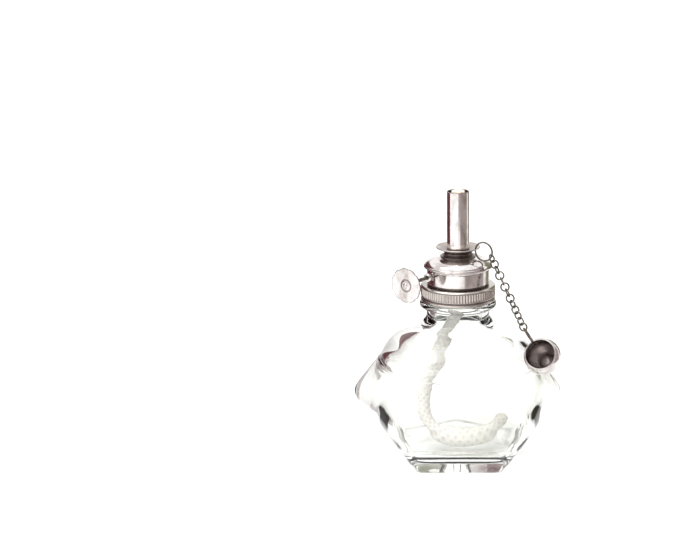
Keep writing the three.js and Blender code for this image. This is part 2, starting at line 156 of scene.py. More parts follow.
class LampWickSettings(bpy.types.PropertyGroup):
    strands: IntProperty(name="Strands", description="Strands each way in the braid", default=6, min=2)
    plait: length("Plait", "Length of one repeat of the braid", 3.2 * MM)
    cotton: colour("Cotton", "Colour of the cotton", (0.99, 0.975, 0.945))
    # Painted shade: the darker colour of the grooves between the strands.
    shade: colour("Cotton shade", "Colour between the strands", (0.89, 0.84, 0.78))
    tip: colour("Tip", "Colour of the wick where it is lit", (0.93, 0.72, 0.55))
    cork: colour("Cork", "Colour of the cork ring", (0.52, 0.34, 0.19))


class LampChainSettings(bpy.types.PropertyGroup):
    wire: length("Link wire", "Radius of the wire of a link", 0.36 * MM)
    ring_wire: length("Ring wire", "Radius of the wire of the two rings", 0.4 * MM)
    wall: length("Cap wall", "Thickness of the snuffer cap", 0.5 * MM)


# ---- arrays to meshes -----------------------------------------------------------------


def grid_mesh(name, points, closed, uv):
    """A mesh from a grid of points.

    points is (around, along, 3); closed says for each of the two ways whether the last row meets
    the first. Each cell of the grid becomes one quad, and points that fall together are merged.
    uv is (around, along, 2), and a closed way gets one more row in it, so that the pattern meets.
    """
    rows, columns = points.shape[:2]
    across = np.arange(rows if closed[0] else rows - 1)[:, None]
    along = np.arange(columns if closed[1] else columns - 1)[None, :]
    corner = lambda i, j: ((across + i) % rows) * columns + (along + j) % columns
    faces = np.stack([corner(0, 0), corner(1, 0), corner(1, 1), corner(0, 1)], axis=-1).reshape(-1, 4)
    steps = [(0, 0), (1, 0), (1, 1), (0, 1)]
    flat_uv = np.stack([uv[across + i, along + j] for i, j in steps], axis=2).reshape(-1, 2)
    mesh = bpy.data.meshes.new(name)
    mesh.vertices.add(rows * columns)
    mesh.vertices.foreach_set("co", points.reshape(-1))
    mesh.loops.add(faces.size)
    mesh.loops.foreach_set("vertex_index", faces.reshape(-1).astype(np.int32))
    mesh.polygons.add(len(faces))
    mesh.polygons.foreach_set("loop_start", np.arange(0, faces.size, 4, dtype=np.int32))
    mesh.update(calc_edges=True)
    mesh.uv_layers.new(name="Surface").data.foreach_set("uv", flat_uv.reshape(-1))
    work = bmesh.new()
    work.from_mesh(mesh)
    bmesh.ops.remove_doubles(work, verts=work.verts, dist=1e-7)
    work.to_mesh(mesh)
    work.free()
    mesh.shade_smooth()
    mesh.validate()
    return mesh


def added(name, data):
    """A new object, linked to the scene."""
    obj = bpy.data.objects.new(name, data)
    bpy.context.scene.collection.objects.link(obj)
    return obj


def piece(name, points, closed, material, body, node, uv=None):
    """A finished piece: its mesh in place, its material, the body it rides on, and its CAD node."""
    if uv is None:
        uv = plain_uv(points.shape[0], points.shape[1])
    obj = added(name, grid_mesh(name, points, closed, uv))
    obj.data.materials.append(material)
    if body:
        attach(obj, body)
    if node:
        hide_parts(node)
    return obj


def plain_uv(rows, columns):
    """0 to 1 round the grid and 0 to 1 along it, with one row and column more than the points."""
    u, v = np.meshgrid(np.arange(rows + 1) / rows, np.arange(columns + 1) / columns, indexing="ij")
    return np.stack([u, v], axis=-1)


def outline(points, soft, steps=4):
    """A profile of (radius, height) points with each corner rounded.

    A corner becomes a parabola that starts and ends the distance soft from it, or under half of
    the shorter side: (1-t)^2 before + 2t(1-t) corner + t^2 after.
    """
    ring = np.array(points, float)
    before, after = np.roll(ring, 1, axis=0) - ring, np.roll(ring, -1, axis=0) - ring
    cut = lambda side: side * np.minimum(soft / np.linalg.norm(side, axis=1), 0.45)[:, None]
    t = np.linspace(0, 1, steps + 1)[None, :, None]
    first, last = (ring + cut(before))[:, None], (ring + cut(after))[:, None]
    return ((1 - t) ** 2 * first + 2 * t * (1 - t) * ring[:, None] + t ** 2 * last).reshape(-1, 2)


def arc(middle, size, start, end, count):
    """(radius, height) points of an ellipse, middle + size (cos a, sin a), between two degrees."""
    a = np.radians(np.linspace(start, end, count))
    return np.stack([middle[0] + size[0] * np.cos(a), middle[1] + size[1] * np.sin(a)], axis=1)


def filled(profile, gap):
    """The same closed profile with points added so that none are further apart than gap."""
    parts = []
    for start, end in zip(profile, np.roll(profile, -1, axis=0)):
        count = max(1, math.ceil(np.linalg.norm(end - start) / gap))
        parts.append(start + (end - start) * np.linspace(0, 1, count, False)[:, None])
    return np.vstack(parts)


def smooth_line(points, count):
    """A smooth line through points, evenly spaced: a cubic through each stretch, whose ends slope
    along the chord between their neighbours, with steps that follow the root of the distance."""
    p = np.array(points, float)
    p = np.vstack([2 * p[0] - p[1], p, 2 * p[-1] - p[-2]])
    knots = np.concatenate([[0], np.cumsum(np.sqrt(np.linalg.norm(np.diff(p, axis=0), axis=1)))])
    fine = np.linspace(knots[1], knots[-2], 40 * len(points))
    k = np.clip(np.searchsorted(knots, fine, side="right") - 1, 1, len(points) - 1)
    t0, t1, t2, t3 = (knots[k + i] for i in (-1, 0, 1, 2))
    mix = lambda a, b, ta, tb: a * ((tb - fine) / (tb - ta))[:, None] + b * ((fine - ta) / (tb - ta))[:, None]
    a1, a2, a3 = mix(p[k - 1], p[k], t0, t1), mix(p[k], p[k + 1], t1, t2), mix(p[k + 1], p[k + 2], t2, t3)
    line = mix(mix(a1, a2, t0, t2), mix(a2, a3, t1, t3), t1, t2)
    run = np.concatenate([[0], np.cumsum(np.linalg.norm(np.diff(line, axis=0), axis=1))])
    at = np.linspace(0, run[-1], count)
    return np.stack([np.interp(at, run, line[:, i]) for i in range(line.shape[1])], axis=1)


def angles(count):
    """Azimuths from the front (-Y) towards the right (+X), once round."""
    return np.arange(count) * TURN / count


def revolve(radius, height, azimuth, place=None):
    """Points of a turned surface: (r sin a, -r cos a, z), moved by place.

    radius and height are (azimuth, profile) or (profile,) arrays.
    """
    a = azimuth[:, None]
    r, z = np.broadcast_arrays(radius, height, np.zeros((len(azimuth), 1)))[:2]
    return moved(np.stack([r * np.sin(a), -r * np.cos(a), z], axis=-1), place)


def moved(points, place):
    """Points after a 4 by 4 matrix."""
    if place is None:
        return points
    m = np.array(place)
    return points @ m[:3, :3].T + m[:3, 3]


def turned(profile, count=160, place=None):
    """A turned surface from a profile, facing outwards whichever way the profile runs."""
    r, z = profile[:, 0], profile[:, 1]
    if (r * np.roll(z, -1) - np.roll(r, -1) * z).sum() < 0:
        r, z = r[::-1], z[::-1]
    return revolve(r, z, angles(count), place)


def basis(x, z, at):
    """A matrix whose +X is x, whose +Z is as near to z as it can be, at a point."""
    x = Vector(x).normalized()
    z = (Vector(z) - x * x.dot(Vector(z))).normalized()
    y = z.cross(x)
    return Matrix(((x.x, y.x, z.x, at[0]), (x.y, y.y, z.y, at[1]), (x.z, y.z, z.z, at[2]), (0, 0, 0, 1)))


def step_up(x, start, end):
    """0 below start, 1 above end, and 3t^2 - 2t^3 between."""
    t = np.clip((x - start) / (end - start), 0, 1)
    return t * t * (3 - 2 * t)


# ---- shader helpers -------------------------------------------------------------------


class Value:
    """A number socket that takes part in Python expressions; each sum adds a Math node."""

    def __init__(self, shader, socket):
        self.shader, self.socket = shader, socket

    def math(self, operation, *values):
        inputs = {index: getattr(value, "socket", value) for index, value in enumerate(values)}
        node = self.shader.node("ShaderNodeMath", {"operation": operation}, inputs)
        return Value(self.shader, node.outputs[0])

    def __add__(self, other):
        return self.math("ADD", self, other)

    def __sub__(self, other):
        return self.math("SUBTRACT", self, other)

    def __rsub__(self, other):
        return self.math("SUBTRACT", other, self)

    def __mul__(self, other):
        return self.math("MULTIPLY", self, other)

    def __pow__(self, other):
        return self.math("POWER", self, other)

    __radd__ = __add__
    __rmul__ = __mul__

    def absolute(self):
        return self.math("ABSOLUTE", self)

    def sine(self):
        return self.math("SINE", self)

    def larger(self, other):
        return self.math("MAXIMUM", self, other)

    def between(self, start, end):
        """0 at start and 1 at end, held outside them."""
        inputs = {"Value": self.socket, "From Min": start, "From Max": end}
        return Value(self.shader, self.shader.node("ShaderNodeMapRange", {"clamp": True}, inputs).outputs[0])


class Shader:
    """A material under one Principled shader."""

    def __init__(self, name, **constants):
        self.material = bpy.data.materials.new(name)
        self.material.use_nodes = True
        self.tree = self.material.node_tree
        self.tree.nodes.clear()
        self.surface = self.node("ShaderNodeBsdfPrincipled", {}, constants)
        self.node("ShaderNodeOutputMaterial", {}, {"Surface": self.surface.outputs[0]})

    def node(self, kind, settings, inputs):
        """A node of a kind, with its settings made first and then its sockets set or linked."""
        node = self.tree.nodes.new(kind)
        for key, value in settings.items():
            setattr(node, key, value)
        for key, value in inputs.items():
            value = getattr(value, "socket", value)
            if isinstance(value, bpy.types.NodeSocket):
                self.tree.links.new(value, node.inputs[key])
            else:
                node.inputs[key].default_value = value
        return node

    def place(self, scale=(1, 1, 1)):
        """Object coordinates in metres, stretched by a Mapping node."""
        source = self.node("ShaderNodeTexCoord", {}, {}).outputs["Object"]
        return self.node("ShaderNodeMapping", {}, {"Vector": source, "Scale": scale}).outputs[0]

    def surface_place(self):
        """The piece's own UV map, as two values."""
        uv = self.node("ShaderNodeUVMap", {"uv_map": "Surface"}, {}).outputs[0]
        parts = self.node("ShaderNodeSeparateXYZ", {}, {0: uv}).outputs
        return Value(self, parts[0]), Value(self, parts[1])

    def height(self):
        """Height above the lamp's foot, in metres."""
        return Value(self, self.node("ShaderNodeSeparateXYZ", {}, {0: self.place()}).outputs[2])

    def noise(self, scale, detail=3, rough=0.55, stretch=(1, 1, 1), distortion=0):
        """Cloudy noise from 0 to 1; scale is per metre."""
        inputs = {"Vector": self.place(stretch), "Scale": scale, "Detail": detail, "Roughness": rough,
                  "Distortion": distortion}
        return Value(self, self.node("ShaderNodeTexNoise", {}, inputs).outputs[0])

    def cells(self, scale):
        """Distance to the nearest of many scattered points; scale is per metre."""
        inputs = {"Vector": self.place(), "Scale": scale}
        return Value(self, self.node("ShaderNodeTexVoronoi", {}, inputs).outputs["Distance"])

    def mixed(self, factor, first, second):
        """The first colour where factor is 0 and the second where it is 1."""
        inputs = {0: factor, 6: solid(first), 7: solid(second)}
        return self.node("ShaderNodeMix", {"data_type": "RGBA"}, inputs).outputs[2]

    def bump(self, height, distance, strength):
        """A normal from a height that runs from 0 to 1, over a distance in metres."""
        inputs = {"Height": height, "Distance": distance, "Strength": strength}
        return self.node("ShaderNodeBump", {}, inputs).outputs[0]

    def feed(self, **sockets):
        """Links or sets the shader's sockets; an underscore in a name stands for a space."""
        for key, value in sockets.items():
            socket = self.surface.inputs[key.replace("_", " ")]
            value = getattr(value, "socket", value)
            if isinstance(value, bpy.types.NodeSocket):
                self.tree.links.new(value, socket)
            else:
                socket.default_value = value
        return self.material


def solid(value):
    """A colour as four numbers, or a link as it is."""
    return value if isinstance(value, bpy.types.NodeSocket) else (*tuple(value)[:3], 1)


# ---- materials ------------------------------------------------------------------------


def clear_glass():
    """Pressed clear glass: faint olive in patches, moulding ripples and a few dull touches."""
    if "pressed_glass" in bpy.data.materials:
        return bpy.data.materials["pressed_glass"]
    s = bpy.context.scene.lamp_glass
    shader = Shader("pressed_glass", **{"IOR": 1.5, "Transmission Weight": 1.0})
    ripple = shader.noise(42, 1, 0.4, (1, 1, 0.55), 0.4)
    tint = shader.mixed(shader.noise(30, 2).between(0.45, 0.75), s.tint, s.edge_tint)
    touched = shader.noise(55, 4).between(0.62, 0.8) * 0.02
    return shader.feed(Base_Color=tint, Roughness=touched, Normal=shader.bump(ripple, 1.6 * MM, s.waviness))


def nickel(name, base, patch, gloss, grime_at=(), grain=(60, 60, 900), bands=()):
    """Nickel plate: cloudy tarnish, turned marks, fine scratches, dirt specks, and painted shade at given
    heights, where joints and creases would be in shade.

    Each of bands is a stretch of the profile that darkens as painted shade: where it starts and ends, as
    shares of the profile's length, and how dark it is.
    """
    if name in bpy.data.materials:
        return bpy.data.materials[name]
    s = bpy.context.scene.lamp_burner
    shader = Shader(name, Metallic=1.0)
    cloud = shader.noise(170, 5, 0.62, (1, 1, 0.7), 0.6)
    marks = shader.noise(1, 2, 0.6, grain)
    specks = shader.cells(900).between(0.0, 0.16)
    shade = shader.mixed(cloud.between(0.46, 0.7), base, patch)
    # dirt_and_shade: real dirt specks first, then the painted shade of the heights and bands below.
    dirt_and_shade = (1 - specks) * 0.25
    # Painted shade: round each given height the plate darkens to the grime colour, as if a joint or crease
    # were in shade.
    for at, width in grime_at:
        dirt_and_shade = dirt_and_shade.larger(1 - (shader.height() - at).absolute().between(0.15 * width, width))
    # Painted shade: each band darkens a stretch of the profile, such as a rim or a hollow, as if it were in
    # shade.
    for start, end, depth in bands:
        v = shader.surface_place()[1]
        edge = 0.12 * (end - start)
        band = v.between(start - edge, start + edge) * (1 - v.between(end - edge, end + edge))
        dirt_and_shade = dirt_and_shade.larger(band * (depth - 0.15 + cloud * 0.3))
    # The colour darkens by dirt_and_shade: dirt specks and painted shade.
    shade = shader.mixed(dirt_and_shade, shade, s.grime)
    rough = gloss + cloud.between(0.35, 0.75) * 0.13 + marks * 0.07 + dirt_and_shade * 0.12
    height = marks * 0.6 + cloud * 0.8
    return shader.feed(Base_Color=shade, Roughness=rough, Normal=shader.bump(height, 0.06 * MM, 0.5))


def bright_nickel(name="polished_nickel", **extra):
    """Polished plate."""
    s = bpy.context.scene.lamp_burner
    return nickel(name, s.bright, s.tarnish, 0.07, **extra)


def dull_nickel(name="unpolished_nickel", **extra):
    """Plate that was never polished."""
    s = bpy.context.scene.lamp_burner
    return nickel(name, s.dull, s.tarnish, 0.16, **extra)


def steel_wire():
    """Drawn wire: dark, with worn bright streaks along it."""
    if "drawn_wire" in bpy.data.materials:
        return bpy.data.materials["drawn_wire"]
    s = bpy.context.scene
    shader = Shader("drawn_wire", Metallic=1.0)
    worn = shader.noise(700, 4, 0.6)
    shade = shader.mixed(worn.between(0.5, 0.72), s.lamp_spindle.steel, s.lamp_burner.tarnish)
    shade = shader.mixed((1 - shader.cells(1300).between(0.02, 0.25)) * 0.6, shade, s.lamp_burner.grime)
    rough = 0.2 + shader.noise(400, 3) * 0.22
    return shader.feed(Base_Color=shade, Roughness=rough, Normal=shader.bump(worn, 0.05 * MM, 0.6))


def feed_brass():
    """Stamped brass, browned by spirit."""
    if "feed_brass" in bpy.data.materials:
        return bpy.data.materials["feed_brass"]
    s = bpy.context.scene
    shader = Shader("feed_brass", Metallic=1.0)
    cloud = shader.noise(500, 4)
    shade = shader.mixed(cloud.between(0.4, 0.7), s.lamp_spindle.brass, s.lamp_burner.grime)
    rough = 0.22 + cloud * 0.3
    return shader.feed(Base_Color=shade, Roughness=rough, Normal=shader.bump(cloud, 0.05 * MM, 0.5))


LIT_END = (0.1165, 0.1205)


def cotton_braid():
    """Undyed braided cotton: two ways of strands that cross, with fibres along each.

    The strand height is the larger of |sin(pi(n u + v))| and |sin(pi(n u - v))|, where u runs once
    round and v counts the repeats along the wick.
    """
    if "cotton_braid" in bpy.data.materials:
        return bpy.data.materials["cotton_braid"]
    s = bpy.context.scene.lamp_wick
    shader = Shader("cotton_braid", **{"Sheen Weight": 0.3, "Specular IOR Level": 0.2})
    u, v = shader.surface_place()
    one = ((u * s.strands + v) * math.pi).sine().absolute()
    other = ((u * s.strands - v) * math.pi).sine().absolute()
    strand = one.larger(other) ** 1.5
    fibre = shader.noise(2600, 3, 0.6, (1, 1, 0.35))
    fuzz = strand * 0.75 + fibre * 0.25
    # Painted shade: the cotton takes the darker shade colour between the strands, where the grooves of the
    # braid would be in shade.
    shade = shader.mixed(fuzz.between(0.3, 0.8), s.shade, s.cotton)
    shade = shader.mixed(shader.height().between(*LIT_END) * 0.75, shade, s.tip)
    rough = 0.98 - fibre * 0.15
    return shader.feed(Base_Color=shade, Roughness=rough, Normal=shader.bump(fuzz, 0.3 * MM, 0.9))


def pressed_cork():
    """Cork crumbs pressed together, with dark gaps."""
    if "pressed_cork" in bpy.data.materials:
        return bpy.data.materials["pressed_cork"]
    s = bpy.context.scene
    shader = Shader("pressed_cork", **{"Specular IOR Level": 0.2})
    crumb = shader.cells(1100)
    shade = shader.mixed(crumb.between(0.2, 0.7), s.lamp_wick.cork, s.lamp_burner.grime)
    shade = shader.mixed(shader.noise(600, 3).between(0.5, 0.8) * 0.5, shade, s.lamp_wick.cotton)
    rough = 0.75 + crumb * 0.2
    return shader.feed(Base_Color=shade, Roughness=rough, Normal=shader.bump(crumb, 0.1 * MM, 0.8))


def coat(node, material):
    """Gives a CAD node that stays a material of its own."""
    data = frame["nodes"][node].data
    data.materials.clear()
    data.materials.append(material)


# ---- stage ----------------------------------------------------------------------------


CAMERA_AT = (-0.0183, -0.6998, 0.2735)
CAMERA_PAN, CAMERA_DROP, CAMERA_LEAN = 2.38, 15.35, 1.0
OVERHEAD_AT = (-0.35, -0.2, 1.4)
CARD_FOOT = (0.036, 0.05)
CARD_LAYERS = 8
LEFT_CARD = [(-0.156, 0.047), (-0.098, -0.004), (-0.06, 0.055), (-0.052, 0.11)]


def hidden_card(name, points, shade, foot=None):
    """A card that only reflections and refractions see; foot is its colour low down."""
    mesh = grid_mesh(name, points, (False, False), plain_uv(points.shape[0], points.shape[1]))
    card = added(name, mesh)
    shader = Shader(name, Roughness=0.8)
    pale = 1 - shader.height().between(*CARD_FOOT)
    clouded = shader.mixed(shader.noise(14, 3) * 0.5, shade, [c * 0.7 for c in shade])
    mesh.materials.append(shader.feed(Base_Color=shader.mixed(pale * 0.75, clouded, foot or shade)))
    card.visible_camera = False
    card.visible_diffuse = False
    card.visible_shadow = False
    card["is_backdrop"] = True


def upright(line, top):
    """A wall of points that stands on a line of (x, y) points: (x, y, z) with z from 0 to top."""
    line = np.array(line, float)
    z = np.linspace(0, top, CARD_LAYERS)
    x = np.broadcast_to(line[:, None, 0], (len(line), CARD_LAYERS))
    y = np.broadcast_to(line[:, None, 1], x.shape)
    return np.stack([x, y, np.broadcast_to(z, x.shape)], axis=-1)


def bent(radius, start, end):
    """(x, y) points on an arc round the lamp, between two azimuths in degrees."""
    a = np.radians(np.linspace(start, end, 24))
    return np.stack([radius * np.sin(a), -radius * np.cos(a)], axis=1)


class LAMP_OT_stage(bpy.types.Operator):
    """Makes the camera, the pale floor, the white surround, the soft light and the hidden cards"""

    bl_idname = "lamp.stage"
    bl_label = "Stage"

    def execute(self, context):
        s = context.scene.lamp_stage
        context.scene.view_settings.view_transform = "Standard"
        self.camera(context, s)
        self.floor(context, s)
        self.light(context, s)
        hidden_card("left_card", upright(LEFT_CARD, 0.13), s.side_card, (0.6, 0.58, 0.58))
        hidden_card("right_card", upright(bent(0.2, 22, 102), 0.3), s.front_card)
        hidden_card("front_card", upright(bent(0.2, 1, 22), 0.16) + (0, 0, 0.05), s.front_card)
        hidden_card("rear_card", upright(bent(0.24, 118, 150), 0.24), s.back_card)
        return {"FINISHED"}

    def camera(self, context, s):
        """Stands in front and a little above, turned slightly left of the lamp."""
        lens = bpy.data.cameras.new("camera")
        lens.lens, lens.sensor_width = s.lens, 36
        lens.clip_start, lens.clip_end = 0.05, 20
        camera = added("camera", lens)
        pan, tilt, lean = (math.radians(angle) for angle in (CAMERA_PAN, 90 - CAMERA_DROP, -CAMERA_LEAN))
        turn = Matrix.Rotation(pan, 4, "Z") @ Matrix.Rotation(tilt, 4, "X") @ Matrix.Rotation(lean, 4, "Z")
        camera.matrix_world = Matrix.Translation(CAMERA_AT) @ turn
        context.scene.camera = camera

    def floor(self, context, s):
        """A wide round floor: concentric rings of points just under the foot."""
        radius = np.array([0, 0.2, 0.5, 1, 2, 4, 7])
        points = revolve(radius, np.full(len(radius), low("glass_font") - 0.3 * MM), angles(64))
        mesh = grid_mesh("floor", points, (True, False), plain_uv(*points.shape[:2]))
        floor = added("floor", mesh)
        shader = Shader("pale_floor", Roughness=0.7)
        shade = shader.mixed(shader.noise(6, 2) * 0.3, s.floor_colour, [c * 0.985 for c in s.floor_colour])
        mesh.materials.append(shader.feed(Base_Color=shade))
        floor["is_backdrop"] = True

    def light(self, context, s):
        """A white surround and one wide soft light overhead."""
        world = bpy.data.worlds.new("surround")
        world.use_nodes = True
        background = world.node_tree.nodes["Background"].inputs
        background["Color"].default_value = (1, 1, 1, 1)
        background["Strength"].default_value = s.sky
        context.scene.world = world
        lamp = bpy.data.lights.new("overhead", "AREA")
        lamp.shape, lamp.size, lamp.size_y, lamp.energy = "RECTANGLE", 1.2, 0.8, s.overhead
        tilt = Matrix.Rotation(math.radians(-14), 4, "Y")
        added("overhead", lamp).matrix_world = Matrix.Translation(OVERHEAD_AT) @ tilt


# ---- wick (the only cord) -------------------------------------------------------------


WICK_RADIUS = reach("wick")
TAIL_ROUTE = [
    (0, 0, 73.1), (0, 0, 70.8), (-2.4, 0.3, 62), (-5.4, 0.8, 54), (-10.4, 1.4, 45), (-13.4, 1.6, 36),
    (-14.6, 0, 27), (-13.8, -2.6, 18.5), (-9.5, -5, 12.4), (-3, -6.6, 10.2), (5, -6.8, 10.2),
    (12, -4.4, 11), (17.2, 0.6, 12.9), (19.2, 6.6, 15.2),
]


def braid_relief(u, v, strands):
    """Radius factor of a braid: 1 on a strand and 0.95 between, by the same sines as its colour."""
    one = np.abs(np.sin(math.pi * (strands * u + v)))
    other = np.abs(np.sin(math.pi * (strands * u - v)))
    return 0.95 + 0.05 * np.maximum(one, other) ** 1.5


def braid_uv(rows, run, plait):
    """u once round and v in repeats of the braid along a run of distances."""
    v = np.append(run, 2 * run[-1] - run[-2]) / plait
    u, v = np.meshgrid(np.arange(rows + 1) / rows, v, indexing="ij")
    return np.stack([u, v], axis=-1)


class LAMP_OT_wick(bpy.types.Operator):
    """Makes the wick in the tubes and its slack end, which lies in the font as a limp cord"""

    bl_idname = "lamp.wick"
    bl_label = "Wick"

    def execute(self, context):
        self.straight(context.scene.lamp_wick)
        self.tail(context.scene.lamp_wick)
        return {"FINISHED"}

    def straight(self, s):
        """A turned rod whose radius is the braid relief, closed by a domed, tufted end at the top."""
        z0, z1 = low("wick"), high("wick")
        top = z1 - 0.9 * MM
        bend = np.linspace(0.1, 1, 14) * math.pi / 2
        z = np.concatenate([[z0, z0], np.linspace(z0 + 0.1 * MM, top, 200), top + 0.8 * MM * np.sin(bend)])
        r = np.concatenate([[0, 0.97], np.ones(200), np.cos(bend)]) * WICK_RADIUS
        run = np.concatenate([[0], np.cumsum(np.hypot(np.diff(r), np.diff(z)))])
        around = angles(64)
        relief = braid_relief(around[:, None] / TURN, run[None, :] / s.plait, s.strands)
        tuft = 0.1 * MM * np.sin(9 * around)[:, None] * np.sin(r * 4200)[None, :]
        tuft = tuft * step_up(z, top, top + 0.3 * MM)
        points = revolve(r * relief, z + tuft * (r > 0.1 * MM), around)
        piece("wick_top", points, (True, False), cotton_braid(), "wick", "wick",
              braid_uv(64, run, s.plait))

    def tail(self, s):
        """A tube along the route: each ring of points stands square to the route, and the frame is
        carried along without twist. Both ends close to a point."""
        line = smooth_line(np.array(TAIL_ROUTE) * MM, 260)
        along = np.gradient(line, axis=0)
        along /= np.linalg.norm(along, axis=1)[:, None]
        side = np.empty_like(line)
        side[0] = (1, 0, 0)
        for i in range(1, len(line)):
            side[i] = side[i - 1] - along[i] * (side[i - 1] @ along[i])
            side[i] /= np.linalg.norm(side[i])
        up = np.cross(along, side)
        gap = np.linalg.norm(line[1] - line[0])
        around = angles(48)
        run = gap * np.arange(len(line))
        relief = braid_relief(around[:, None] / TURN, run[None, :] / s.plait, s.strands)
        close = np.minimum(np.arange(len(line)), np.arange(len(line))[::-1]) / 4
        radius = WICK_RADIUS * relief * np.sqrt(np.clip(close, 0, 1) * (2 - np.clip(close, 0, 1)))
        a = around[:, None, None]
        points = line + radius[..., None] * (np.cos(a) * side + np.sin(a) * up)
        obj = piece("wick_tail_braid", points, (True, False), cotton_braid(), None, "wick_tail",
                    braid_uv(48, run, s.plait))
        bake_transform(obj)


# ---- glass font -----------------------------------------------------------------------


SIDES = 5
FOOT_APOTHEM, WAIST_APOTHEM, WAIST_Z = 25.2 * MM, 42.2 * MM, 25.1 * MM
RIDGE_RADIUS, RIDGE_Z = 35.6 * MM, 45 * MM
DOME_RADIUS, DOME_Z, DOME_RISE = 35.2 * MM, 42 * MM, 22.7 * MM
NECK_RADIUS, BORE_RADIUS = 13.9 * MM, 10.6 * MM
BEAD_RADIUS, BEAD_Z = 16.9 * MM, 70.75 * MM
THREAD_RADIUS, THREAD_DEPTH, THREAD_PITCH = 13.6 * MM, 1.1 * MM, 2.5 * MM
THREAD_Z = (72.6 * MM, 77.3 * MM)
CORNER_POWER, WAIST_BLEND = 24, 0.4 / MM


def pentagon(azimuth):
    """How far a soft-cornered pentagon reaches past its apothem: (sum of cos^n)^(-1/n)."""
    turns = azimuth[:, None] - np.arange(SIDES) * TURN / SIDES
    return (np.maximum(np.cos(turns), 0) ** CORNER_POWER).sum(axis=1) ** (-1 / CORNER_POWER)


def facets(z, azimuth):
    """Radius of the faceted body: the softened lesser of the lower flats, which lean out to the
    waist, and the upper flats, which lean back to the round ridge."""
    corner = pentagon(azimuth)[:, None]
    lower = corner * (FOOT_APOTHEM + (WAIST_APOTHEM - FOOT_APOTHEM) * z / WAIST_Z)
    t = (z - WAIST_Z) / (RIDGE_Z - WAIST_Z)
    upper = (1 - t) * corner * WAIST_APOTHEM + t * RIDGE_RADIUS
    return -np.log(np.exp(-WAIST_BLEND * lower) + np.exp(-WAIST_BLEND * upper)) / WAIST_BLEND


def dome(angle, inset=0.0):
    """Radius and height on the round shoulder at an angle above its middle."""
    return (DOME_RADIUS - inset) * np.cos(angle), DOME_Z + (DOME_RISE - inset) * np.sin(angle)


class LAMP_OT_glass(bpy.types.Operator):
    """Makes the clear glass font with its five flats each way, shoulder, neck, bead and thread"""

    bl_idname = "lamp.glass"
    bl_label = "Glass font"

    def execute(self, context):
        s = context.scene.lamp_glass
        around = angles(360)
        r, z = zip(*self.outside(around), *self.inside(around, s))
        wide = lambda part: np.broadcast_to(part, (len(around), np.shape(part)[-1]))
        r = np.concatenate([wide(part) for part in r], axis=1)
        z = np.concatenate([wide(part) for part in z], axis=1)
        points = revolve(r, z, around)
        glass = piece("glass_body", points, (True, False), clear_glass(), "font", "glass_font")
        glass.visible_shadow = False
        return {"FINISHED"}

    def outside(self, around):
        """The outer surface as (radius, height) stretches, from the middle of the foot up to the rim."""
        edge = 1.1 * MM
        foot = facets(np.array([0.0]), around)
        share_out = np.linspace(0, 1, 10)
        yield (foot - edge) * share_out, 0.35 * MM * (1 - step_up(share_out, 0.72, 0.9))
        bend = np.linspace(0.15, 1, 7) * math.pi / 2
        yield facets(edge * (1 - np.cos(bend)), around) - edge * (1 - np.sin(bend)), edge * (1 - np.cos(bend))
        stretches = (np.linspace(2.2, 20, 16), np.linspace(21, 31, 22), np.linspace(32, 43.6, 12))
        z = np.concatenate(stretches) * MM
        yield facets(z, around), z
        bend = np.linspace(-0.5, 0.5, 6)
        ridge = RIDGE_RADIUS + 0.1 * MM + 0.45 * MM * (np.cos(2 * bend) - 1)
        yield ridge, RIDGE_Z - 0.2 * MM + bend * 1.1 * MM
        yield dome(np.radians(np.linspace(10.5, 62, 30)))
        t = np.linspace(0.15, 1, 8)
        yield NECK_RADIUS + 2.0 * MM * (1 - t) ** 2, 62.4 * MM + 3.4 * MM * t
        yield np.full(5, NECK_RADIUS), np.linspace(66.3, 68.8, 5) * MM
        bend = np.radians(np.linspace(-85, 85, 12))
        yield BEAD_RADIUS - 1.3 * MM + 1.3 * MM * np.cos(bend), BEAD_Z + 1.4 * MM * np.sin(bend)
        z = np.linspace(*THREAD_Z, 22)
        wave = 0.5 + 0.5 * np.cos(TURN * z[None, :] / THREAD_PITCH - around[:, None])
        fade = step_up(z, z[0], z[0] + 0.6 * MM) * step_up(-z, -z[-1], 0.6 * MM - z[-1])
        yield THREAD_RADIUS + THREAD_DEPTH * wave * fade, z
        rim = high("glass_font")
        yield THREAD_RADIUS - np.array([0.1, 0.35, 0.6]) * MM, rim - np.array([0.25, 0.08, 0]) * MM

    def inside(self, around, s):
        """The inner surface, from the rim down the bore to the middle of the thick floor."""
        rim = high("glass_font")
        yield BORE_RADIUS + np.array([0.5, 0.2, 0.03, 0]) * MM, rim - np.array([0, 0.1, 0.35, 0.8]) * MM
        yield np.full(6, BORE_RADIUS), np.linspace(75, 63.5, 6) * MM
        t = np.linspace(0, 1, 6)
        heel = s.wall + s.shoulder
        start = np.array(dome(np.radians(61), heel))
        yield BORE_RADIUS + (start[0] - BORE_RADIUS) * t ** 2, 63 * MM + (start[1] - 63 * MM) * t
        bend = np.linspace(59, 6, 24)
        yield dome(np.radians(bend), s.wall + s.shoulder * step_up(bend, 6, 40))
        z = np.linspace(41, 14, 30) * MM
        yield facets(z, around) - s.wall, z
        edge = facets(np.array([14 * MM]), around) - s.wall
        bend = np.linspace(0.08, 1, 14) * math.pi / 2
        yield edge * (0.55 + 0.45 * np.cos(bend)), s.floor + (14 * MM - s.floor) * (1 - np.sin(bend))
        yield edge * np.linspace(0.5, 0, 8), np.full(8, s.floor) + 0.4 * MM * np.linspace(0, 1, 8) ** 2


# ---- burner ---------------------------------------------------------------------------


POINTS_PER_FLUTE = 8


